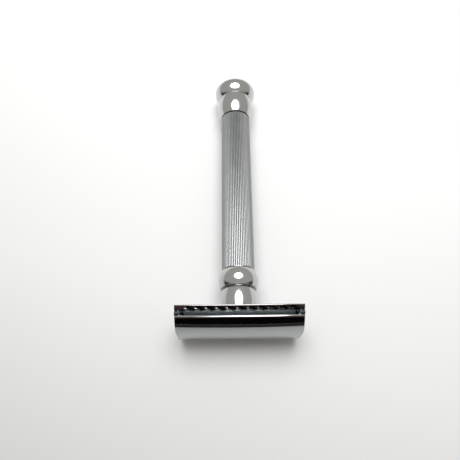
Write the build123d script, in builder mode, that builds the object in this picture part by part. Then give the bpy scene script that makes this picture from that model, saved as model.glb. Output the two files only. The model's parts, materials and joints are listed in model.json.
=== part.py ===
"""Twist-to-open safety razor: two domed doors over a bent double-edge blade, on a long fluted handle.

The razor lies on its side: the guard's long edge and the end knob rest on z = 0, the head points
to -Y and its long side runs along X.  All sizes are millimetres.  Stations along the handle are
signed distances s from the doors' outer edges: positive towards the crown, negative to the knob.
"""
from build123d import *
import math
import os

# ---- head --------------------------------------------------------------------------------------
head_length = 43.0
door_half_width = 10.2
crown_height = 4.8
door_wall = 0.85
door_lip = 0.45
door_seam = 0.1
door_end_round = 1.2
clamp_rib = (8.0, 8.6)
clamp_rib_length = 36.8

guard_half_width = 12.2
guard_low = -3.66
guard_top = -2.0
web_top = -2.85
bar_inner = 10.9
bar_crest = 11.15
bar_shoulder = -3.3
bar_round = 0.3
rail = (8.2, 9.2)
rail_length = 36.8
notch_count = 11
notch_pitch = 3.44
notch_depth = 1.17
notch_top_width = 2.0
notch_bottom = (-0.25, 0.35)
drain_count = 5
drain_slot = (5.4, 1.7)
drain_pitch = 7.0
drain_row = 5.6

# ---- blade: the standard double-edge outline ---------------------------------------------------
blade_length = 43.0
blade_width = 22.0
blade_thickness = 0.1
blade_edge_length = 37.3
blade_tab_width = 13.8
blade_crown = 0.8
blade_radius = 22.4
blade_slot = (34.8, 1.9)
blade_hole_radius = 2.3
blade_hole_pitch = 12.0

# ---- door hinges and drive ---------------------------------------------------------------------
open_angle = 70.0
lift_travel = 1.5
twist_turns = 1.5
pivot_side = 10.9
pivot_station = -1.1
hinge_pin_radius = 0.35
drive_pin_radius = 0.3
running_gap = 0.03
boss_radius = 0.66
ear_layer = (20.7, 21.5)
bracket_layer = (19.9, 20.6)
yoke_layer = (19.05, 19.8)
drive_radius = lift_travel / (2 * math.sin(math.radians(open_angle / 2)))
drive_side = pivot_side - drive_radius * math.cos(math.radians(open_angle / 2))
drive_station = pivot_station - lift_travel / 2

# ---- carriage ----------------------------------------------------------------------------------
bar_width = 5.0
bar_bottom = -2.4
blade_rail = (33.4, 1.5)
blade_rail_top = 1.6
locating_lug_radius = 1.9
yoke_bottom = -2.55
yoke_top = -1.15
yoke_half_width = 10.5
tenon = (2.2, 1.0)
stem_radius = 3.0
stem_flat = 2.4
stem_end = -15.5
stem_bore_radius = 1.8
stem_bore_end = -4.4
stem_spigot = (1.6, 1.6)

# ---- handle ------------------------------------------------------------------------------------
neck_radius = 6.5
neck_widest = -7.6
neck_foot_radius = 6.1
neck_waist = -12.3
neck_end = -12.6
neck_end_radius = 5.85
ring_end = -19.3
ring_radius = 7.25
ring_widest = -16.3
ring_lip_radius = 6.6
ring_lip_round = 0.25
grip_radius = 6.0
grip_end = -88.7
grip_bore_radius = 4.0
flute_count = 52
flute_radius = 0.3
flute_depth = 0.2
plain_band = 1.2
spigot_end = -24.0
neck_bore_radius = 3.2
guide_radius = 4.3
guide_end = -8.0
front_bush_span = (-29.0, -24.4)
rear_bush_span = (-88.7, -83.4)
seal_thickness = 0.45
seal_radius = 5.5

# ---- knob and drive rod ------------------------------------------------------------------------
bead_start = -89.2
bead_start_radius = 6.05
bead_radius = 7.4
bead_widest = -95.2
groove_station = -98.6
groove_radius = 7.0
knob_radius = 8.55
knob_centre = -102.8
knob_half_length = 5.3
knob_flat_radius = 3.0
rod_radius = 2.0
rod_shoulder = -17.6
rod_end = -101.0
thread_radius = stem_bore_radius - running_gap
thread_tip = -6.2
clip_groove_radius = 1.6
clip_span = (-82.45, -81.95)
clip_radius = 3.5
washer_radius = 3.7
washer_thickness = 0.4

# ---- how the razor lies ------------------------------------------------------------------------
guard_contact = guard_low + bar_round
tilt = math.atan2(guard_half_width - knob_radius, guard_contact - knob_centre)
up = Vector(0, math.sin(tilt), math.cos(tilt))
to_crown = Vector(0, -math.cos(tilt), math.sin(tilt))
dome_radius = (door_half_width**2 + crown_height**2) / (2 * crown_height)
dome_centre = crown_height - dome_radius
front_reach = dome_centre * math.cos(tilt) + dome_radius
knob_end = knob_centre - knob_half_length * math.sqrt(1 - (knob_flat_radius / knob_radius)**2)
back_reach = -knob_end * math.cos(tilt) + knob_flat_radius * math.sin(tilt)
origin = Vector(
    0,
    (front_reach - back_reach) / 2,
    guard_half_width * math.cos(tilt) - guard_contact * math.sin(tilt),
)

# across: sketch on it looks down the handle's axis.  section: side profile, drawn (height, station).
# turning: half profile for turned parts, drawn (radius, station).
across = Plane(origin=origin, x_dir=(1, 0, 0), z_dir=to_crown)
section = Plane(origin=origin, x_dir=up, z_dir=(1, 0, 0))
turning = Plane(origin=origin, x_dir=(1, 0, 0), z_dir=-up)
axis = Axis(origin, to_crown)

blade_centre = blade_crown - blade_radius
pieces = []


def keep(builder, name):
    """Label a finished piece and put it on the list of pieces to write."""
    builder.part.label = name
    pieces.append(builder.part)


def arc_height(radius, centre, side):
    """Station of an arc centred on the handle's axis, at a height above or below that axis."""
    return centre + math.sqrt(radius**2 - side**2)


def tube(name, outer, inner, start, end):
    """A plain turned tube between two stations."""
    with BuildPart() as piece:
        with BuildSketch(across.offset(start)):
            Circle(outer)
            Circle(inner, mode=Mode.SUBTRACT)
        extrude(amount=end - start)
    keep(piece, name)


# ---- guard plate: a flat web with a blade rail and a notched bar along each side ----------------
with BuildPart() as guard_plate:
    with BuildSketch(section):
        with BuildLine():
            # The bar's outer face leans in towards the blade.
            Polyline((0, guard_low), (guard_half_width, guard_low), (guard_half_width, bar_shoulder),
                     (bar_crest, guard_top), (bar_inner, guard_top), (bar_inner, web_top),
                     (0, web_top), close=True)
        make_face()
        mirror(about=Plane.YZ)
    extrude(amount=head_length / 2, both=True)
    rows = guard_plate.edges().filter_by(Axis.X).group_by(Axis(origin, up))
    back_edges = rows[0].sort_by(axis)[0:1] + rows[-1].sort_by(axis)[0:1]
    fillet(back_edges, radius=bar_round)
    under_blade = blade_radius - blade_thickness - 0.04
    with BuildSketch(section):
        with BuildLine():
            inner_top = (rail[0], arc_height(under_blade, blade_centre, rail[0]))
            outer_top = (rail[1], arc_height(under_blade, blade_centre, rail[1]))
            Line((rail[0], web_top), inner_top)
            RadiusArc(inner_top, outer_top, under_blade)
            Line(outer_top, (rail[1], web_top))
            Line((rail[1], web_top), (rail[0], web_top))
        make_face()
        mirror(about=Plane.YZ)
    extrude(amount=rail_length / 2, both=True)
    # Each notch is cut from the blade's side; the far row is the near one turned half round.
    first_notch = -(notch_count - 1) / 2 * notch_pitch - notch_top_width / 2
    for side in (1, -1):
        with BuildSketch(turning.offset(-side * (guard_half_width + 1))):
            for count in range(notch_count):
                left = first_notch + count * notch_pitch
                top = guard_top + 0.1
                with BuildLine():
                    Polyline((side * left, top), (side * (left + notch_top_width), top),
                             (side * (left + notch_bottom[1]), guard_top - notch_depth),
                             (side * (left + notch_bottom[0]), guard_top - notch_depth), close=True)
                make_face()
        extrude(amount=side * (guard_half_width + 1 - rail[1] - 0.6), mode=Mode.SUBTRACT)
    with BuildSketch(across.offset(guard_low)):
        with GridLocations(drain_pitch, 2 * drain_row, drain_count, 2):
            SlotOverall(*drain_slot)
        Circle(neck_bore_radius)
    extrude(amount=web_top - guard_low, mode=Mode.SUBTRACT)
keep(guard_plate, "guard_plate")

# ---- hinge brackets: a strap across each end with a bored boss for each door ---------------------
foot_inner = bar_inner - 0.65
for name, side in (("hinge_bracket_left", -1), ("hinge_bracket_right", 1)):
    start = side * bracket_layer[0]
    with BuildPart() as bracket:
        with BuildSketch(section.offset(start)):
            with BuildLine():
                strap_top = web_top + 0.45
                Polyline((0, web_top), (bar_inner, web_top), (bar_inner, guard_top),
                         (pivot_side + boss_radius, guard_top),
                         (pivot_side + boss_radius, pivot_station), (foot_inner, pivot_station),
                         (foot_inner, strap_top), (0, strap_top), close=True)
            make_face()
            with Locations((pivot_side, pivot_station)):
                Circle(boss_radius)
                Circle(hinge_pin_radius + running_gap, mode=Mode.SUBTRACT)
            mirror(about=Plane.YZ)
        extrude(amount=side * (bracket_layer[1] - bracket_layer[0]))
    keep(bracket, name)

# ---- doors: half a dome each, with an end wall that carries the hinge pin and the drive pin -----
blade_clear = blade_radius + 0.25
ear_inner = blade_tab_width / 2 + 0.4
ear_low = drive_station - drive_pin_radius - 0.12
seam = door_seam / 2
wall_radius = dome_radius - door_wall


def door(name, side):
    """One door: side is 1 for the upper one and -1 for the lower one."""
    with BuildPart() as shell:
        lip_inner = math.sqrt(wall_radius**2 - (door_lip + dome_centre) ** 2)
        with BuildSketch(section):
            with BuildLine():
                crown = (seam, arc_height(dome_radius, dome_centre, seam))
                crown_inside = (seam, arc_height(wall_radius, dome_centre, seam))
                RadiusArc(crown, (door_half_width, 0), dome_radius)
                Polyline((door_half_width, 0), (door_half_width, -door_lip), (lip_inner, -door_lip))
                RadiusArc((lip_inner, -door_lip), crown_inside, -wall_radius)
                Line(crown_inside, crown)
            make_face()
        extrude(amount=head_length / 2, both=True)
        with BuildSketch(section):
            with BuildLine():
                near = (clamp_rib[0], arc_height(blade_radius + 0.04, blade_centre, clamp_rib[0]))
                far = (clamp_rib[1], arc_height(blade_radius + 0.04, blade_centre, clamp_rib[1]))
                Polyline(near, (near[0], arc_height(wall_radius + 0.2, dome_centre, near[0])),
                         (far[0], arc_height(wall_radius + 0.2, dome_centre, far[0])), far)
                RadiusArc(far, near, -(blade_radius + 0.04))
            make_face()
        extrude(amount=clamp_rib_length / 2, both=True)
        for end in (-1, 1):
            with BuildSketch(section.offset(end * ear_layer[0])):
                with BuildLine():
                    low = (seam, arc_height(blade_clear, blade_centre, seam))
                    tab = (ear_inner, arc_height(blade_clear, blade_centre, ear_inner))
                    RadiusArc(crown, (door_half_width, 0), dome_radius)
                    Polyline((door_half_width, 0), (door_half_width, pivot_station + boss_radius),
                             (pivot_side, pivot_station + boss_radius),
                             (pivot_side, pivot_station - boss_radius),
                             (drive_side + 0.45, ear_low), (drive_side - 0.55, ear_low),
                             (ear_inner, ear_low + 1.2), tab)
                    RadiusArc(tab, low, -blade_clear)
                    Line(low, crown)
                make_face()
                with Locations((pivot_side, pivot_station)):
                    Circle(boss_radius)
            extrude(amount=end * (ear_layer[1] - ear_layer[0]))
        # The doors' ends roll over at the crown, and stay square at the lip.
        with BuildSketch(turning):
            for end in (-1, 1):
                with Locations((end * (head_length - door_end_round + 1) / 2,
                                crown_height - (door_end_round - 1) / 2)):
                    Rectangle(door_end_round + 1, door_end_round + 1)
            for end in (-1, 1):
                with Locations((end * (head_length / 2 - door_end_round),
                                crown_height - door_end_round)):
                    Circle(door_end_round, mode=Mode.SUBTRACT)
        extrude(amount=guard_half_width, both=True, mode=Mode.SUBTRACT)
        pin_layer = ear_layer[0] - 1
        for end in (-1, 1):
            with BuildSketch(section.offset(end * pin_layer)):
                with Locations((pivot_side, pivot_station)):
                    Circle(hinge_pin_radius)
                with Locations((drive_side, drive_station)):
                    Circle(drive_pin_radius)
            extrude(amount=end * (ear_layer[1] - 0.2 - pin_layer), mode=Mode.SUBTRACT)
        if side < 0:
            mirror(about=Plane(origin=origin, z_dir=up), mode=Mode.REPLACE)
    keep(shell, name)


def pin_pair(name, side, spot, radius, inner_end):
    """Two short pins, one at each end of a door, pressed into its end walls."""
    with BuildPart() as pins:
        for end in (-1, 1):
            with BuildSketch(section.offset(end * inner_end)):
                with Locations((side * spot[0], spot[1])):
                    Circle(radius)
            extrude(amount=end * (ear_layer[1] - 0.2 - inner_end))
    keep(pins, name)


for word, side in (("upper", 1), ("lower", -1)):
    door(f"door_{word}", side)
    pin_pair(f"hinge_pins_{word}", side, (pivot_side, pivot_station), hinge_pin_radius,
             bracket_layer[0] - 0.05)
    pin_pair(f"drive_pins_{word}", side, (drive_side, drive_station), drive_pin_radius,
             yoke_layer[0] + 0.02)

# ---- blade: thin sheet bent over the carriage ---------------------------------------------------
with BuildPart() as blade:
    half_arc = math.degrees(blade_width / 2 / blade_radius)
    with BuildSketch(section):
        with BuildLine():
            outer = [(blade_radius * math.sin(math.radians(turn)),
                      blade_centre + blade_radius * math.cos(math.radians(turn)))
                     for turn in (-half_arc, half_arc)]
            under = blade_radius - blade_thickness
            inner = [(under * math.sin(math.radians(turn)),
                      blade_centre + under * math.cos(math.radians(turn)))
                     for turn in (-half_arc, half_arc)]
            RadiusArc(outer[0], outer[1], blade_radius)
            Line(outer[1], inner[1])
            RadiusArc(inner[1], inner[0], -under)
            Line(inner[0], outer[0])
        make_face()
    extrude(amount=blade_length / 2, both=True)
    with BuildSketch(across.offset(-6)):
        Rectangle(blade_length + 4, blade_width + 4)
        Rectangle(blade_edge_length, blade_width + 4, mode=Mode.SUBTRACT)
        Rectangle(blade_length + 4, blade_tab_width, mode=Mode.SUBTRACT)
        SlotOverall(*blade_slot)
        with GridLocations(blade_hole_pitch, 0, 3, 1):
            Circle(blade_hole_radius)
    extrude(amount=10, mode=Mode.SUBTRACT)
keep(blade, "blade")

# ---- carriage: the bar under the blade, its end yokes and its threaded stem ----------------------
bar_half_length = yoke_layer[0]
with BuildPart() as centre_bar:
    with BuildSketch(section):
        with BuildLine():
            support = blade_radius - blade_thickness - 0.01
            side_height = arc_height(support, blade_centre, bar_width / 2)
            Polyline((bar_width / 2, side_height), (bar_width / 2, bar_bottom),
                     (-bar_width / 2, bar_bottom), (-bar_width / 2, side_height))
            RadiusArc((-bar_width / 2, side_height), (bar_width / 2, side_height), support)
        make_face()
    extrude(amount=bar_half_length, both=True)
    with BuildSketch(across.offset(blade_crown - 0.5)):
        SlotOverall(*blade_rail)
        with GridLocations(2 * blade_hole_pitch, 0, 2, 1):
            Circle(locating_lug_radius)
    extrude(amount=blade_rail_top - blade_crown + 0.5)
    fillet(centre_bar.faces().sort_by(axis)[-1].edges(), radius=0.3)
    with BuildSketch(section.offset(-yoke_layer[1])):
        with Locations((0, (yoke_bottom + yoke_top) / 2)):
            Rectangle(*tenon)
    extrude(amount=2 * yoke_layer[1])
    with BuildSketch(across.offset(bar_bottom)):
        Circle(stem_spigot[0])
    extrude(amount=stem_spigot[1], mode=Mode.SUBTRACT)
keep(centre_bar, "centre_bar")

slot_play = 0.05
slot_inner = pivot_side - drive_radius - drive_pin_radius - slot_play
slot_outer = drive_side + drive_pin_radius + slot_play
slot_half = drive_pin_radius + slot_play
for name, side in (("yoke_left", -1), ("yoke_right", 1)):
    with BuildPart() as yoke:
        with BuildSketch(section.offset(side * yoke_layer[0])):
            with Locations((0, (yoke_bottom + yoke_top) / 2)):
                SlotOverall(2 * yoke_half_width, yoke_top - yoke_bottom)
                Rectangle(*tenon, mode=Mode.SUBTRACT)
            with Locations(((slot_inner + slot_outer) / 2, drive_station),
                           (-(slot_inner + slot_outer) / 2, drive_station)):
                Rectangle(slot_outer - slot_inner, 2 * slot_half, mode=Mode.SUBTRACT)
        extrude(amount=side * (yoke_layer[1] - yoke_layer[0]))
    keep(yoke, name)

with BuildPart() as lift_stem:
    with BuildSketch(across.offset(bar_bottom)):
        Circle(stem_radius)
        Rectangle(2 * stem_flat, 4 * stem_radius, mode=Mode.INTERSECT)
    extrude(amount=stem_end - bar_bottom)
    with BuildSketch(across.offset(bar_bottom)):
        Circle(stem_spigot[0])
    extrude(amount=stem_spigot[1])
    with BuildSketch(across.offset(stem_end)):
        Circle(stem_bore_radius)
    extrude(amount=stem_bore_end - stem_end, mode=Mode.SUBTRACT)
keep(lift_stem, "lift_stem")

# ---- handle: neck, ring, fluted grip and the bushes inside them ----------------------------------
with BuildPart() as neck_collar:
    with BuildSketch(turning):
        with BuildLine():
            # A bell: widest near the guard, drawn in a little under the ring.
            widest = (neck_radius, neck_widest)
            foot = (neck_foot_radius, guard_low)
            waist = (neck_end_radius, neck_waist)
            Polyline((neck_bore_radius, guard_low), foot)
            TangentArc(widest, foot, tangent=(0, 1))
            TangentArc(widest, waist, tangent=(0, -1))
            Polyline(waist, (neck_end_radius, neck_end), (grip_bore_radius, neck_end),
                     (grip_bore_radius, spigot_end), (neck_bore_radius, spigot_end),
                     (neck_bore_radius, guard_low))
        make_face()
    revolve(axis=axis)
    with BuildSketch(across.offset(guard_low)):
        Circle(guide_radius)
    extrude(amount=guide_end - guard_low, mode=Mode.SUBTRACT)
keep(neck_collar, "neck_collar")

with BuildPart() as front_ring:
    with BuildSketch(turning):
        with BuildLine():
            rim_face = (ring_lip_radius - ring_lip_round, neck_end)
            rim_side = (ring_lip_radius, neck_end - ring_lip_round)
            Line((grip_bore_radius, neck_end), rim_face)
            TangentArc(rim_face, rim_side, tangent=(1, 0))
            ThreePointArc(rim_side, (ring_radius, ring_widest), (grip_radius, ring_end))
            Polyline((grip_radius, ring_end), (grip_bore_radius, ring_end), (grip_bore_radius, neck_end))
        make_face()
    revolve(axis=axis)
keep(front_ring, "front_ring")

with BuildPart() as grip_tube:
    with BuildSketch(across.offset(grip_end)):
        Circle(grip_radius)
        Circle(grip_bore_radius, mode=Mode.SUBTRACT)
    extrude(amount=ring_end - grip_end)
    with BuildSketch(across.offset(grip_end + plain_band)):
        with PolarLocations(grip_radius + flute_radius - flute_depth, flute_count):
            Circle(flute_radius)
    extrude(amount=ring_end - grip_end - 2 * plain_band, mode=Mode.SUBTRACT)
keep(grip_tube, "grip_tube")

with BuildPart() as stem_guide:
    with BuildSketch(across.offset(guard_low)):
        Circle(guide_radius)
        with BuildSketch(mode=Mode.SUBTRACT):
            Circle(stem_radius + 2 * running_gap)
            Rectangle(2 * (stem_flat + running_gap), 4 * stem_radius, mode=Mode.INTERSECT)
    extrude(amount=guide_end - guard_low)
keep(stem_guide, "stem_guide")

tube("front_bush", grip_bore_radius, rod_radius + running_gap, *front_bush_span)
tube("rear_bush", grip_bore_radius, rod_radius + running_gap, *rear_bush_span)
tube("end_seal", seal_radius, rod_radius + 0.1, grip_end - seal_thickness, grip_end)

# ---- knob, drive rod and the parts that hold them in --------------------------------------------
with BuildPart() as twist_knob:
    with BuildSketch(turning):
        with BuildLine():
            # The bead swells towards the end button, which is half an ellipse beyond its widest
            # point and is cut off by a small flat to stand on.
            widest = (knob_radius, knob_centre)
            Line((0, bead_start), (bead_start_radius, bead_start))
            TangentArc((bead_radius, bead_widest), (bead_start_radius, bead_start), tangent=(0, 1))
            TangentArc((bead_radius, bead_widest), (groove_radius, groove_station), tangent=(0, -1))
            TangentArc(widest, (groove_radius, groove_station), tangent=(0, 1))
            flat_angle = math.degrees(math.acos(knob_flat_radius / knob_radius))
            EllipticalCenterArc((0, knob_centre), knob_radius, knob_half_length,
                                start_angle=-flat_angle, arc_size=flat_angle)
            Polyline((knob_flat_radius, knob_end), (0, knob_end), (0, bead_start))
        make_face()
    revolve(axis=axis)
    with BuildSketch(across.offset(bead_start)):
        Circle(rod_radius)
    extrude(amount=rod_end - bead_start, mode=Mode.SUBTRACT)
keep(twist_knob, "twist_knob")

with BuildPart() as drive_rod:
    with BuildSketch(across.offset(rod_end)):
        Circle(rod_radius)
    extrude(amount=rod_shoulder - rod_end)
    with BuildSketch(across.offset(rod_shoulder)):
        Circle(thread_radius)
    extrude(amount=thread_tip - rod_shoulder)
    with BuildSketch(across.offset(clip_span[0])):
        Circle(rod_radius + 1)
        Circle(clip_groove_radius, mode=Mode.SUBTRACT)
    extrude(amount=clip_span[1] - clip_span[0], mode=Mode.SUBTRACT)
keep(drive_rod, "drive_rod")

# The clip snaps on from one side, so it is open there.
with BuildPart() as retaining_clip:
    with BuildSketch(across.offset(clip_span[0])):
        Circle(clip_radius)
        Circle(clip_groove_radius, mode=Mode.SUBTRACT)
        with Locations((clip_radius, 0)):
            Rectangle(2 * clip_radius, 1.6 * clip_groove_radius, mode=Mode.SUBTRACT)
    extrude(amount=clip_span[1] - clip_span[0])
keep(retaining_clip, "retaining_clip")

washer_bore = rod_radius + running_gap
wave_start = clip_span[0] - washer_thickness
tube("wave_washer", washer_radius, washer_bore, wave_start, clip_span[0])
thrust_start = rear_bush_span[1] + running_gap
tube("thrust_washer", washer_radius, washer_bore, thrust_start, wave_start)

os.makedirs("parts", exist_ok=True)
for piece in pieces:
    export_step(piece, f"parts/{piece.label}.step")
    print(f"{piece.label}: {len(piece.solids())} solids, {piece.volume:.2f} mm3")
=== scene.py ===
"""Safety razor on a white table: chrome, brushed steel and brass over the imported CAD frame.

Sizes are metres; texture coordinates are millimetres.  Places on the razor are given in its own
frame: x across the head, y away from the table, and z the station along the handle, from the end
knob's centre towards the crown of the head.  The table, the card and the lamp stand in the CAD's
frame, where z is up and the crown faces -y.
"""
import json
import math
import bmesh
import bpy
from mathutils import Matrix, Vector


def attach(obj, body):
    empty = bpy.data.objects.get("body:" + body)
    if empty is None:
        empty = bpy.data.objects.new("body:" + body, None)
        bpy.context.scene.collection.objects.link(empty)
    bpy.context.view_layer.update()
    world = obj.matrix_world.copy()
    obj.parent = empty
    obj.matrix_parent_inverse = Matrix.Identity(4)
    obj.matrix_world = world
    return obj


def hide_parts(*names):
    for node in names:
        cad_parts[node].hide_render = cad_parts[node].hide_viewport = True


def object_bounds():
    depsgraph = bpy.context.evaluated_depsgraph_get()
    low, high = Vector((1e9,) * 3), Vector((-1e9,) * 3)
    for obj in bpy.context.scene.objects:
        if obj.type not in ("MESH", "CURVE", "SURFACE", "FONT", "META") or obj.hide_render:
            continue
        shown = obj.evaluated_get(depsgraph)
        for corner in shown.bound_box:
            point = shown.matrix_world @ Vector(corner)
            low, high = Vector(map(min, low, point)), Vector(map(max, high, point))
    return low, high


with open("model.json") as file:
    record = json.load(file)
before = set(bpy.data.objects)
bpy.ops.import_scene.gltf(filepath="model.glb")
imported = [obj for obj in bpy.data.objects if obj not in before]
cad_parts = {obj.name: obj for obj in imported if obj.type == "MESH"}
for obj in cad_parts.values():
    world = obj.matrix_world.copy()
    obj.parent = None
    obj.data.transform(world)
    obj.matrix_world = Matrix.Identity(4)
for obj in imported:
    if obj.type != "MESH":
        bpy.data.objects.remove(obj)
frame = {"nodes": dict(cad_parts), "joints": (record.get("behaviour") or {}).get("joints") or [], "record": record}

cad_low, cad_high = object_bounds()
MM = 0.001
WELD = 0.0005 * MM
ON_AXIS = 0.001 * MM

turn_joint = next(joint for joint in frame["joints"] if joint["name"] == "knob_twist")
across = Vector((1, 0, 0))
to_crown = -Vector(turn_joint["axis"]).normalized()
up = to_crown.cross(across)
to_world = Matrix.Translation(turn_joint["pos_m"]) @ Matrix((across, up, to_crown)).transposed().to_4x4()
to_razor = to_world.inverted()
body_of = {node: body for body, nodes in frame["record"]["behaviour"]["bodies"].items() for node in nodes}
slot_of = {row["node"]: row["material_slot"] for row in frame["record"]["subparts"]}


def spots(node):
    """A CAD node's vertices in the razor's frame."""
    return [to_razor @ vertex.co for vertex in frame["nodes"][node].data.vertices]


def span(node):
    """The lowest and highest corner of a CAD node in the razor's frame."""
    columns = list(zip(*spots(node)))
    return Vector([min(column) for column in columns]), Vector([max(column) for column in columns])


# ---- node trees ------------------------------------------------------------------------------------
class Graph:
    """A new material or world node tree, with short calls to fill it."""

    def __init__(self, owner):
        owner.use_nodes = True
        self.tree = owner.node_tree
        self.tree.nodes.clear()

    def add(self, kind, sockets=None, **settings):
        """Adds a node; sockets gives each input's value, or the output that feeds it."""
        node = self.tree.nodes.new("ShaderNode" + kind)
        for name, value in settings.items():
            setattr(node, name, value)
        for name, value in (sockets or {}).items():
            if isinstance(value, bpy.types.NodeSocket):
                self.tree.links.new(value, node.inputs[name])
            else:
                node.inputs[name].default_value = value
        return node

    def math(self, operation, *values):
        """A math node's result."""
        return self.add("Math", dict(enumerate(values)), operation=operation).outputs[0]

    def ramp(self, factor, *stops):
        """A colour ramp; each stop is (position, grey) or (position, rgb)."""
        node = self.add("ValToRGB", {"Fac": factor})
        points = node.color_ramp.elements
        while len(points) < len(stops):
            points.new(0.5)
        for point, (place, colour) in zip(points, stops):
            point.position = place
            point.color = (*colour, 1) if isinstance(colour, tuple) else (colour, colour, colour, 1)
        return node.outputs["Color"]

    def noise(self, place, scale, detail=4.0, roughness=0.6):
        """Noise with that many cells a millimetre."""
        sockets = {"Vector": place, "Scale": scale, "Detail": detail, "Roughness": roughness}
        return self.add("TexNoise", sockets).outputs["Fac"]

    def stretched(self, place, factors):
        """Coordinates squeezed by a factor along each axis."""
        sockets = {0: place, 1: factors}
        return self.add("VectorMath", sockets, operation="MULTIPLY").outputs[0]

    def scaled(self, value, low, high):
        """A 0 to 1 value spread over another range."""
        return self.add("MapRange", {"Value": value, "To Min": low, "To Max": high}).outputs[0]

    def share(self, value, start, end):
        """How far a value has come from start, which gives 0, to end, which gives 1."""
        return self.add("MapRange", {"Value": value, "From Min": start, "From Max": end}).outputs[0]

    def parts(self, place):
        """The X, Y and Z outputs of some coordinates."""
        return self.add("SeparateXYZ", {0: place}).outputs

    def surface(self, sockets):
        """Ends a material's tree with a principled shader."""
        shader = self.add("BsdfPrincipled", sockets)
        self.add("OutputMaterial", {"Surface": shader.outputs[0]})


# In millimetres, as the textures are.
GRIP_RADIUS = 6.0


def razor_place(graph):
    """Object coordinates in the razor's frame, in millimetres."""
    own = graph.add("TexCoord").outputs["Object"]
    turned = to_razor.to_3x3().to_euler()
    moved = graph.add("Mapping", {"Vector": own, "Location": to_razor.translation, "Rotation": turned})
    return graph.stretched(moved.outputs[0], (1 / MM, 1 / MM, 1 / MM))


def polar_place(graph, place):
    """Coordinates round the handle's axis: (arc length at the grip, radius, station), in millimetres."""
    part = graph.parts(place)
    angle = graph.math("ARCTAN2", part["Y"], part["X"])
    radius = graph.math("SQRT", graph.math("ADD", graph.math("MULTIPLY", part["X"], part["X"]),
                                           graph.math("MULTIPLY", part["Y"], part["Y"])))
    arc = graph.math("MULTIPLY", angle, GRIP_RADIUS)
    return graph.add("CombineXYZ", {"X": arc, "Y": radius, "Z": part["Z"]}).outputs[0]


# Looks that all the metals share: roughnesses, the width in millimetres over which a finish
# changes and the share of the roughness that it then loses, and the reach of the painted crevice shade and the
# scratches' depth.
SMOOTHEST, SPECK_ROUGHNESS = 0.02, 0.08
CREST_WIDTH, CREST_POLISH = 0.06, 0.45
GROUND_WIDTH, GROUND_POLISH = 0.03, 0.4
GROUND_COLOUR = (0.85, 0.9, 0.95, 1)
CREVICE_SHADE_REACH, SCRATCH_DEPTH = 0.9 * MM, 0.004 * MM


def metal(name, colour, roughness, **looks):
    """A metal with smudges, hairline scratches and painted shade that darkens its crevices.

    looks: smudge (how much the finish varies), scratch (how deep), grime (how dark the
    painted shade in the crevices gets), brush, the scratches' direction as factors on the coordinates,
    or "turned" for marks that run round the handle's axis, crest, the radius beyond which use has
    polished the metal, and ground, the distance either side of the middle beyond which a blade is ground to its
    edge.
    """
    material = bpy.data.materials.new(name)
    graph = Graph(material)
    place = razor_place(graph)
    smudge, scratch = looks.get("smudge", 0.05), looks.get("scratch", 0.15)
    grime, brush = looks.get("grime", 0.5), looks.get("brush", (6.0, 0.5, 0.5))
    if brush == "turned":
        lines = graph.stretched(polar_place(graph, place), (0.12, 1.0, 9.0))
    else:
        lines = graph.stretched(place, brush)
    cloud = graph.noise(place, scale=0.22, detail=5.0)
    fine_cloud = graph.noise(place, scale=1.7, detail=3.0)
    hairlines = graph.noise(lines, scale=3.0, detail=6.0, roughness=0.75)
    specks = graph.ramp(graph.noise(place, scale=9.0, detail=1.0), (0.70, 0.0), (0.76, 1.0))
    finish = graph.math("ADD", graph.scaled(cloud, roughness - smudge, roughness + smudge),
                        graph.scaled(hairlines, -0.25 * smudge, 0.5 * smudge))
    finish = graph.math("ADD", finish, graph.scaled(specks, 0.0, SPECK_ROUGHNESS))
    finish = graph.math("MAXIMUM", finish, SMOOTHEST)
    if "crest" in looks:
        radius = graph.parts(polar_place(graph, place))["Y"]
        worn = graph.share(radius, looks["crest"], looks["crest"] + CREST_WIDTH)
        finish = graph.math("SUBTRACT", finish, graph.math("MULTIPLY", worn, CREST_POLISH * roughness))
    clouds = graph.math("MULTIPLY", graph.math("ADD", cloud, fine_cloud), 0.5)
    shade = graph.ramp(clouds, (0.3, tuple(0.95 * part for part in colour)),
                       (0.7, tuple(1.03 * part for part in colour)))
    if "ground" in looks:
        side = graph.math("ABSOLUTE", graph.parts(place)["Y"])
        honed = graph.share(side, looks["ground"], looks["ground"] + GROUND_WIDTH)
        ground = {"Fac": honed, "Color1": shade, "Color2": GROUND_COLOUR}
        shade = graph.add("MixRGB", ground).outputs[0]
        finish = graph.math("SUBTRACT", finish, graph.math("MULTIPLY", honed, GROUND_POLISH * roughness))
    # Painted shade: ambient occlusion darkens the colour in creases and recesses, where less light reaches.
    open_air = graph.add("AmbientOcclusion", {"Distance": CREVICE_SHADE_REACH}, samples=6).outputs["AO"]
    painted_shade = graph.ramp(open_air, (0.25, 1.0 - grime), (0.85, 1.0))
    darkened = {"Fac": 1.0, "Color1": shade, "Color2": painted_shade}
    shade = graph.add("MixRGB", darkened, blend_type="MULTIPLY").outputs[0]
    height = graph.math("ADD", hairlines, graph.math("MULTIPLY", specks, 0.4))
    relief = {"Strength": scratch, "Distance": SCRATCH_DEPTH, "Height": height}
    bump = graph.add("Bump", relief).outputs[0]
    graph.surface({"Base Color": shade, "Metallic": 1.0, "Roughness": finish, "Normal": bump})
    return material


def rubber(name):
    """Matt black rubber with a fine grain."""
    material = bpy.data.materials.new(name)
    graph = Graph(material)
    place = razor_place(graph)
    grain = graph.noise(place, scale=6.0)
    shade = graph.ramp(graph.noise(place, scale=0.8), (0.35, 0.012), (0.65, 0.03))
    bump = graph.add("Bump", {"Strength": 0.3, "Distance": 0.02 * MM, "Height": grain}).outputs[0]
    graph.surface({"Base Color": shade, "Normal": bump, "Roughness": graph.scaled(grain, 0.45, 0.7)})
    return material


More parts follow.
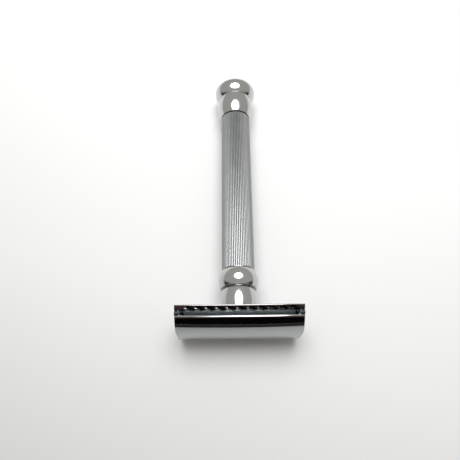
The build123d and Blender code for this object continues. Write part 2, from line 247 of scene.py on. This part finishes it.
finishes = {
    "chrome": metal("chrome", (0.43, 0.44, 0.443), 0.07, smudge=0.03, scratch=0.1),
    "turned_chrome": metal("turned_chrome", (0.55, 0.556, 0.56), 0.13, smudge=0.03, scratch=0.12,
                           grime=0.85, brush="turned"),
    "guard_chrome": metal("guard_chrome", (0.44, 0.44, 0.445), 0.13, grime=0.9),
    "grip_chrome": metal("grip_chrome", (0.36, 0.37, 0.375), 0.42, smudge=0.06, grime=0.75,
                         brush=(0.6, 0.6, 0.2), crest=5.93),
    "satin_nickel": metal("satin_nickel", (0.47, 0.46, 0.44), 0.3, scratch=0.4, brush=(0.4, 6.0, 6.0)),
    # Near black, painted shade for the brackets, yokes and hinge ears at the head's ends.
    "bracket_nickel": metal("bracket_nickel", (0.06, 0.068, 0.08), 0.5, scratch=0.4, brush=(0.4, 6.0, 6.0)),
    "blade_steel": metal("blade_steel", (0.67, 0.73, 0.79), 0.42, scratch=0.3, grime=0.1,
                         brush=(0.3, 8.0, 8.0), ground=10.3),
    # Dark grey, painted shade for the walls in the guard's recess.
    "dull_recess": metal("dull_recess", (0.19, 0.2, 0.19), 0.4, grime=0.6),
    "inner_steel": metal("inner_steel", (0.4, 0.41, 0.42), 0.25, scratch=0.35, brush="turned"),
    "brass": metal("brass", (0.62, 0.44, 0.2), 0.25, scratch=0.35, brush="turned"),
    "seal_black": rubber("seal_black"),
}


# ---- finer meshes ----------------------------------------------------------------------------------
def place_piece(name, mesh, node, finish=None):
    """Puts a mesh given in the razor's frame in a CAD node's place, riding on its body."""
    piece = bpy.data.objects.new(name, mesh)
    bpy.context.scene.collection.objects.link(piece)
    mesh.transform(to_world)
    mesh.materials.clear()
    mesh.materials.append(finishes[finish or slot_of[node]])
    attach(piece, body_of[node])
    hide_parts(node)
    return piece


def smooth(mesh, sharpest=35.0):
    """Shades a mesh smooth, apart from edges that turn by more than that many degrees."""
    mesh.polygons.foreach_set("use_smooth", [True] * len(mesh.polygons))
    mesh.set_sharp_from_angle(angle=math.radians(sharpest))


def bevelled(node, width=0.06 * MM, finish=None, cuts=()):
    """Stands for a CAD node with the same shape, its flat faces whole and its edges rounded.

    cuts are heights at which its faces stay split, so that none of them has a hole in it.
    """
    flat, sharp = math.radians(0.6), math.radians(38)
    mesh = frame["nodes"][node].data.copy()
    mesh.transform(to_razor)
    work = bmesh.new()
    work.from_mesh(mesh)
    bmesh.ops.remove_doubles(work, verts=work.verts, dist=WELD)
    for height in cuts:
        whole = work.verts[:] + work.edges[:] + work.faces[:]
        cut = bmesh.ops.bisect_plane(work, geom=whole, plane_co=(0, height, 0), plane_no=(0, 1, 0))
        for part in cut["geom_cut"]:
            if isinstance(part, bmesh.types.BMEdge):
                part.seam = True
    bmesh.ops.dissolve_limit(work, angle_limit=flat, verts=work.verts, edges=work.edges, delimit={"SEAM"})
    corners = [edge for edge in work.edges if edge.is_manifold and edge.calc_face_angle() > sharp]
    bmesh.ops.bevel(work, geom=corners, offset=width, segments=2, profile=0.5, affect="EDGES",
                    clamp_overlap=True, miter_outer="ARC")
    bmesh.ops.remove_doubles(work, verts=work.verts, dist=WELD)
    work.to_mesh(mesh)
    work.free()
    smooth(mesh)
    return place_piece(node + "_finish", mesh, node, finish)


def outline(node):
    """A turned CAD node's outline as (radius, station) points in order, and whether it is closed.

    It is read off the node's own mesh, on the side where x is positive.  Points in the same cell of
    a fine grid are one point, and ends no more than two cells apart are at one station.
    """
    near, level = 0.002 * MM, 2
    points, beside = {}, {}
    places = spots(node)
    for edge in frame["nodes"][node].data.edges:
        ends = [places[index] for index in edge.vertices]
        if all(abs(end.y) < near and end.x > -near for end in ends):
            keys = [(round(end.x / near), round(end.z / near)) for end in ends]
            if keys[0] != keys[1]:
                for key, end in zip(keys, ends):
                    points[key] = (max(end.x, 0.0), end.z)
                beside.setdefault(keys[0], set()).add(keys[1])
                beside.setdefault(keys[1], set()).add(keys[0])
    # A flat face square to the axis has no edge of its own there, so its two ends are joined.
    loose = sorted((key for key in beside if len(beside[key]) == 1 and key[0] > 0), key=lambda key: key[1])
    while loose:
        first = loose.pop(0)
        mate = min(loose, key=lambda key: (abs(key[1] - first[1]), abs(key[0] - first[0])), default=None)
        if mate is None or abs(mate[1] - first[1]) > level:
            continue
        loose.remove(mate)
        beside[first].add(mate)
        beside[mate].add(first)
    start = min(beside, key=lambda key: (len(beside[key]) - 1, key[1], key[0]))
    path, here, seen = [], start, set()
    while here is not None:
        seen.add(here)
        path.append(points[here])
        here = next((key for key in sorted(beside[here]) if key not in seen), None)
    closed = len(beside[start]) > 1
    if not closed:
        path = [(0.0, path[0][1])] + path + [(0.0, path[-1][1])]
    return [Vector(point) for point in path], closed


def between(before, start, end, after, share):
    """A point on the smooth curve through start and end, leaning on the points either side."""
    return 0.5 * (2 * start + (end - before) * share + (2 * before - 5 * start + 4 * end - after) * share**2
                  + (3 * start - before - 3 * end + after) * share**3)


def finer(path, closed, edge=0.08 * MM, sharpest=32.0):
    """An outline with its sharp corners rounded off and its curves split more finely."""
    count = len(path)

    def corner(index):
        if not closed and index in (0, count - 1):
            return True
        turn = (path[index] - path[index - 1]).angle(path[(index + 1) % count] - path[index])
        return math.degrees(turn) > sharpest

    result = []
    for index, spot in enumerate(path):
        if not closed and index in (0, count - 1):
            result.append(spot)
        elif corner(index):
            arms = [path[index - 1] - spot, path[(index + 1) % count] - spot]
            reach = min(edge, 0.4 * arms[0].length, 0.4 * arms[1].length)
            ends = [spot + arm.normalized() * reach for arm in arms]
            for share in (0.0, 0.25, 0.5, 0.75, 1.0):
                result.append(ends[0].lerp(spot, share).lerp(spot.lerp(ends[1], share), share))
        else:
            result.append(spot)
        if not closed and index == count - 1:
            break
        following = (index + 1) % count
        if corner(index) and corner(following):
            continue
        far = path[following]
        before = 2 * spot - far if corner(index) else path[index - 1]
        after = 2 * far - spot if corner(following) else path[(following + 1) % count]
        shares = (0.5,) if corner(index) or corner(following) else (0.33, 0.67)
        result += [between(before, spot, far, after, share) for share in shares]
    return result


def spin(path, closed, segments=144, shape=None):
    """A mesh turned from an outline; shape(angle, radius, station) may change each point's radius."""
    mesh = bpy.data.meshes.new("turned")
    work = bmesh.new()
    rings = []
    for radius, station in path:
        if radius < ON_AXIS:
            rings.append([work.verts.new((0, 0, station))] * segments)
            continue
        ring = []
        for step in range(segments):
            angle = 2 * math.pi * step / segments
            reach = shape(angle, radius, station) if shape else radius
            ring.append(work.verts.new((reach * math.cos(angle), reach * math.sin(angle), station)))
        rings.append(ring)
    pairs = list(zip(rings, rings[1:] + rings[:1])) if closed else list(zip(rings, rings[1:]))
    for lower, upper in pairs:
        for step in range(segments):
            onward = (step + 1) % segments
            corners = [lower[step], lower[onward], upper[onward], upper[step]]
            corners = [vert for place, vert in enumerate(corners) if vert not in corners[:place]]
            if len(corners) > 2:
                work.faces.new(corners)
    bmesh.ops.recalc_face_normals(work, faces=work.faces)
    work.to_mesh(mesh)
    work.free()
    smooth(mesh, sharpest=50.0)
    return mesh


def turned(node, finish=None):
    """Stands for a turned CAD node, with finer curves and rounded edges."""
    path, closed = outline(node)
    return place_piece(node + "_finish", spin(finer(path, closed), closed), node, finish)


def reeded_grip():
    """The grip: fine convex reeds side by side, run out just short of the ring."""
    node, reeds, depth = "grip_tube", 52, 0.2 * MM
    fade, edge = 0.7 * MM, 0.05 * MM
    fade_steps, reed_steps = 6, 12
    path, closed = outline(node)
    bore = min(radius for radius, station in path if radius > 0)
    outside = max(radius for radius, station in path)
    low, high = (pick(station for radius, station in path) for pick in (min, max))
    half_pitch = math.pi * outside / reeds
    crown = (half_pitch**2 + depth**2) / (2 * depth)
    foot = outside - 1.3 * depth
    stations = [low + 2 * edge]
    stations += [high - edge - fade * (1 - step / fade_steps) for step in range(fade_steps + 1)]
    profile = [Vector((bore, low)), Vector((foot, low)), Vector((outside, low + edge))]
    profile += [Vector((outside, station)) for station in stations]
    profile += [Vector((outside - edge, high)), Vector((bore, high))]

    def reed(angle, radius, station):
        if radius < outside - 0.5 * edge:
            return radius
        share = max(0.0, min(1.0, (high - edge - station) / fade))
        share = share * share * (3 - 2 * share)
        off_crest = 2 * half_pitch * abs((angle * reeds / (2 * math.pi) + 0.5) % 1.0 - 0.5)
        return radius - share * (crown - math.sqrt(crown**2 - off_crest**2))

    return place_piece("grip_reeded", spin(profile, True, reeds * reed_steps, reed), node)


def threaded_rod():
    """The drive rod, with a rounded screw thread along its thin end.

    The thread stops short of both its ends, where plain rod is left, and runs out towards them.
    """
    node, pitch, depth = "drive_rod", 1.0 * MM, 0.28 * MM
    near, tip_length, end_length = 0.01 * MM, 0.2 * MM, 0.3 * MM
    plain, run_out = 0.1 * MM, 0.5 * MM
    pitch_steps, round_steps = 8, 96
    path, closed = outline(node)
    path = finer(path, closed)
    end = max(station for radius, station in path)
    thread = max(radius for radius, station in path if abs(station - end) < tip_length)
    start = min(station for radius, station in path if abs(radius - thread) < near)
    shank = [point for point in path if point[1] <= start + end_length]
    tip = [point for point in path if point[1] >= end - end_length and point not in shank]
    steps = int((end - start - 2 * end_length) / pitch * pitch_steps)
    turns = [Vector((thread, start + end_length + pitch * step / pitch_steps)) for step in range(1, steps)]

    def helix(angle, radius, station):
        inside = min(station - start, end - station)
        if radius < thread - near or inside < plain:
            return radius
        share = min(1.0, (inside - plain) / run_out)
        wave = 0.5 + 0.5 * math.cos(2 * math.pi * station / pitch - angle)
        return radius - depth * share * wave

    return place_piece("drive_rod_threaded", spin(shank + turns + tip, closed, round_steps, helix), node)


def wave_ring():
    """The spring washer: thin steel bent into three waves within its pressed height."""
    node, sheet, waves = "wave_washer", 0.14 * MM, 3
    path, closed = outline(node)
    inner, outer = (pick(radius for radius, station in path) for pick in (min, max))
    low, high = (pick(station for radius, station in path) for pick in (min, max))
    middle, swing = (low + high) / 2, (high - low - sheet) / 2
    half = sheet / 2
    ring = [Vector((inner, middle - half)), Vector((outer, middle - half)),
            Vector((outer, middle + half)), Vector((inner, middle + half))]
    mesh = spin(finer(ring, True, edge=0.04 * MM), True)
    for vertex in mesh.vertices:
        vertex.co.z += swing * math.sin(waves * math.atan2(vertex.co.y, vertex.co.x))
    return place_piece("wave_washer_bent", mesh, node)


def shade_faces(piece, finish, chosen):
    """Gives the faces that chosen(centre, normal) picks, in the razor's frame, a darker, duller finish that paints
    shade on them.
    """
    piece.data.materials.append(finishes[finish])
    for face in piece.data.polygons:
        if chosen(to_razor @ face.center, to_razor.to_3x3() @ face.normal):
            face.material_index = 1


def guard():
    """The guard, its faces split along the rows of drain slots, and the walls in its recess given a dark, dull
    finish that paints shade in the recess.
    """
    node = "guard_plate"
    drain_row, rail_side, web_height, wall_lean = 5.6 * MM, 9.5 * MM, 0.6 * MM, 0.7
    web = span(node)[0].z + web_height
    # Painted shade: the recess walls get the dark grey dull_recess finish.
    shade_faces(bevelled(node, cuts=(-drain_row, 0.0, drain_row)), "dull_recess",
               lambda centre, normal: (centre.z > web and abs(centre.y) < rail_side
                                       and abs(normal.y) > wall_lean))


def door(node):
    """A door, with painted shade making the hinge ears at its ends as dark as the brackets."""
    ear_side, margin = 17 * MM, 1.0 * MM
    low, high = span("hinge_pins_" + node.removeprefix("door_"))
    shade_faces(bevelled(node), "bracket_nickel",
               lambda centre, normal: (abs(centre.x) > ear_side and centre.z < high.z + margin
                                       and low.y - margin < centre.y < high.y + margin))


# These get the near-black bracket_nickel finish, painted shade at the head's ends.
SHADED_NICKEL = ("hinge_bracket_left", "hinge_bracket_right", "yoke_left", "yoke_right")
TURNED = {"neck_collar": "turned_chrome", "front_ring": "turned_chrome", "twist_knob": "turned_chrome",
          "front_bush": None, "rear_bush": None, "end_seal": None, "thrust_washer": None}
SPECIAL = {"grip_tube": reeded_grip, "drive_rod": threaded_rod, "wave_washer": wave_ring,
           "guard_plate": guard}
for node in frame["nodes"]:
    if node in TURNED:
        turned(node, TURNED[node])
    elif node in SPECIAL:
        SPECIAL[node]()
    elif node.startswith("door"):
        door(node)
    else:
        bevelled(node, finish="bracket_nickel" if node in SHADED_NICKEL else None)


# ---- camera, table and light -------------------------------------------------------------------------
def set_camera():
    """Looks down from above and beyond the crown, a little left of the handle."""
    camera = bpy.data.objects.new("camera", bpy.data.cameras.new("camera"))
    bpy.context.scene.collection.objects.link(camera)
    camera.data.sensor_width = 36
    camera.data.lens = 36.08
    camera.data.clip_start = 0.005
    tilt, yaw, roll = (math.radians(turn) for turn in (23.4, -0.2, -0.4))
    turn = Matrix.Rotation(yaw, 4, "Z") @ Matrix.Rotation(tilt, 4, "X") @ Matrix.Rotation(roll, 4, "Z")
    side, above, beyond_guard = -3.08 * MM, 159.02 * MM, 43.15 * MM
    spot = to_world @ Vector((side, above, span("guard_plate")[0].z + beyond_guard))
    camera.matrix_world = Matrix.Translation(spot) @ turn
    bpy.context.scene.camera = camera


def flat_sheet(name, low, high, height):
    """A flat sheet of the stage between two corners."""
    mesh = bpy.data.meshes.new(name)
    corners = [(low[0], low[1]), (high[0], low[1]), (high[0], high[1]), (low[0], high[1])]
    mesh.from_pydata([(x, y, height) for x, y in corners], [], [(0, 1, 2, 3)])
    sheet = bpy.data.objects.new(name, mesh)
    bpy.context.scene.collection.objects.link(sheet)
    material = bpy.data.materials.new(name + "_surface")
    mesh.materials.append(material)
    return sheet, Graph(material)


def set_table():
    """A plain white table, with painted shade darkening it towards its near left corner."""
    half = 30
    table, graph = flat_sheet("table", (-half, -half), (half, half), 0.0)
    place = graph.add("TexCoord").outputs["Object"]
    part = graph.parts(place)
    # Painted shade: the colour falls off towards the near left corner, as the lamp's light does.
    lean = graph.math("ADD", part["Y"], graph.math("MULTIPLY", part["X"], 0.35))
    lit = graph.share(lean, -0.45, 0.05)
    shade = graph.ramp(lit, (0.0, 0.3), (0.55, 0.52), (0.8, 0.79), (1.0, 0.92))
    # Away from the razor the table glows, as if lit by the rest of the room.
    away = graph.add("VectorMath", {0: place}, operation="LENGTH").outputs["Value"]
    sockets = {"Value": away, "From Min": 0.2, "From Max": 0.8, "To Max": 0.62}
    glow = graph.add("MapRange", sockets, interpolation_type="SMOOTHSTEP").outputs[0]
    graph.surface({"Base Color": shade, "Roughness": 0.6, "Emission Strength": glow,
                   "Emission Color": (0.85, 0.86, 0.9, 1)})


def set_black_card():
    """A black card flat on the table in front of the crown, seen only in reflections."""
    back, half_width, length = cad_low.y - 90 * MM, 3, 4
    card, graph = flat_sheet("black_card", (-half_width, back - length), (half_width, back), 0.5 * MM)
    graph.surface({"Base Color": (0.012, 0.011, 0.013, 1), "Roughness": 0.9})
    card.visible_camera = card.visible_diffuse = card.visible_shadow = False


def set_lights():
    """A soft oval lamp overhead, a little towards the knob, in a grey room that is dark in front."""
    middle = (cad_low + cad_high) / 2
    lamp = bpy.data.objects.new("overhead", bpy.data.lights.new("overhead", "AREA"))
    bpy.context.scene.collection.objects.link(lamp)
    lamp.data.shape = "ELLIPSE"
    lamp.data.size, lamp.data.size_y = 0.42, 0.38
    lamp.data.energy = 2.35
    lamp.data.color = (0.975, 0.985, 1.0)
    lamp.location = middle + Vector((0, 0.115, 0.5))
    lamp.rotation_euler = (math.radians(-13), 0, 0)
    world = bpy.data.worlds.new("room")
    bpy.context.scene.world = world
    graph = Graph(world)
    part = graph.parts(graph.add("TexCoord").outputs["Generated"])
    # From -1 level in front, through 0 half way up, to 0.9 overhead and over 1 high up behind.
    turned_back = graph.math("ADD", part["Y"], graph.math("MULTIPLY", part["Z"], 0.9))
    along = graph.share(turned_back, -1.0, 1.0)
    shade = graph.ramp(along, (0.235, (0.003, 0.003, 0.004)), (0.275, (0.1, 0.05, 0.05)),
                       (0.47, (0.05, 0.03, 0.04)), (0.57, (0.5, 0.5, 0.46)))
    room = graph.add("Background", {"Color": shade})
    # The camera itself sees a plain pale backdrop beyond the table.
    pale = graph.add("Background", {"Color": (0.8, 0.8, 0.81, 1)})
    seen = graph.add("LightPath").outputs["Is Camera Ray"]
    both = graph.add("MixShader", {0: seen, 1: room.outputs[0], 2: pale.outputs[0]})
    graph.add("OutputWorld", {"Surface": both.outputs[0]})
    bpy.context.scene.view_settings.view_transform = "Standard"


set_camera()
set_table()
set_black_card()
set_lights()
